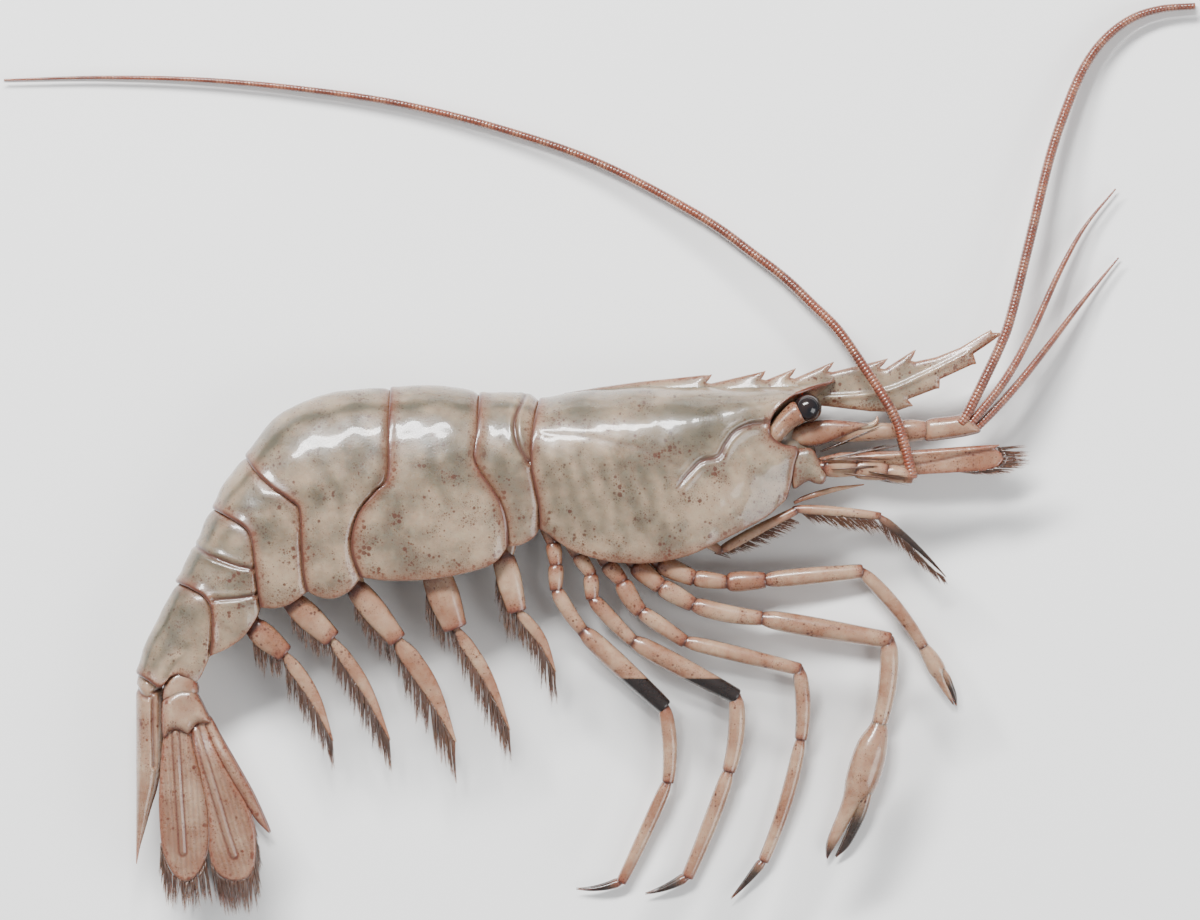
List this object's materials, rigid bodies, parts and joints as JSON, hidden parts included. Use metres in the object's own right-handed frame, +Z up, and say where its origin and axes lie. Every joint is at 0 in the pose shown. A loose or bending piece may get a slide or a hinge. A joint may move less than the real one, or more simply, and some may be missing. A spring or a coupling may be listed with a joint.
{
  "type": "raw shrimp",
  "caption": "Whole raw shrimp with head, shell, toothed rostrum, feelers, jointed legs, swimming legs and tail fan, lying on its side.",
  "frame": {"origin": "middle of the bounding box, at the level of the surface it lies on", "axes": "+Z up, out of the shrimp's right side; +X towards the head; +Y towards the back"},
  "size_m": [0.1195, 0.0917, 0.0118],
  "materials": {
    "shell": "wet, slightly clear grey-beige shell with fine brown-red freckles",
    "tail": "wet, clear pinkish tail blades with red-brown freckles",
    "limb": "wet, clear buff limbs with rosy joints",
    "feeler": "wet red-brown feelers, finely ringed",
    "cornea": "glossy black",
    "bristle": "fine brown bristles"
  },
  "bodies": {
    "root": {"carapace": "shell", "abdomen_1": "shell", "abdomen_2": "shell", "abdomen_3": "shell", "abdomen_4": "shell", "abdomen_5": "shell", "abdomen_6": "shell", "telson": "tail", "uropod_right_stalk": "tail", "uropod_right_inner": "tail", "uropod_right_outer": "tail", "uropod_right_rib": "tail", "eyestalk_right": "limb", "cornea_right": "cornea", "antennule_right": "limb", "antennule_right_long_whip": "feeler", "antennule_right_middle_whip": "feeler", "antennule_right_short_whip": "feeler", "antenna_right_cheek": "shell", "antenna_right_stalk": "limb", "antenna_right_scale": "limb", "antenna_right_whip": "feeler", "maxilliped_right": "limb", "palp_right": "limb", "leg_1_right": "limb", "leg_2_right": "limb", "leg_3_right": "limb", "leg_4_right": "limb", "leg_5_right": "limb", "swimmeret_1_right": "limb", "swimmeret_2_right": "limb", "swimmeret_3_right": "limb", "swimmeret_4_right": "limb", "swimmeret_5_right": "limb", "uropod_left_stalk": "tail", "uropod_left_inner": "tail", "uropod_left_outer": "tail", "uropod_left_rib": "tail", "eyestalk_left": "limb", "cornea_left": "cornea", "antennule_left": "limb", "antennule_left_long_whip": "feeler", "antennule_left_middle_whip": "feeler", "antennule_left_short_whip": "feeler", "antenna_left_cheek": "shell", "antenna_left_stalk": "limb", "antenna_left_scale": "limb", "antenna_left_whip": "feeler", "maxilliped_left": "limb", "palp_left": "limb", "leg_1_left": "limb", "leg_2_left": "limb", "leg_3_left": "limb", "leg_4_left": "limb", "leg_5_left": "limb", "swimmeret_1_left": "limb", "swimmeret_2_left": "limb", "swimmeret_3_left": "limb", "swimmeret_4_left": "limb", "swimmeret_5_left": "limb"}
  },
  "joints": []
}
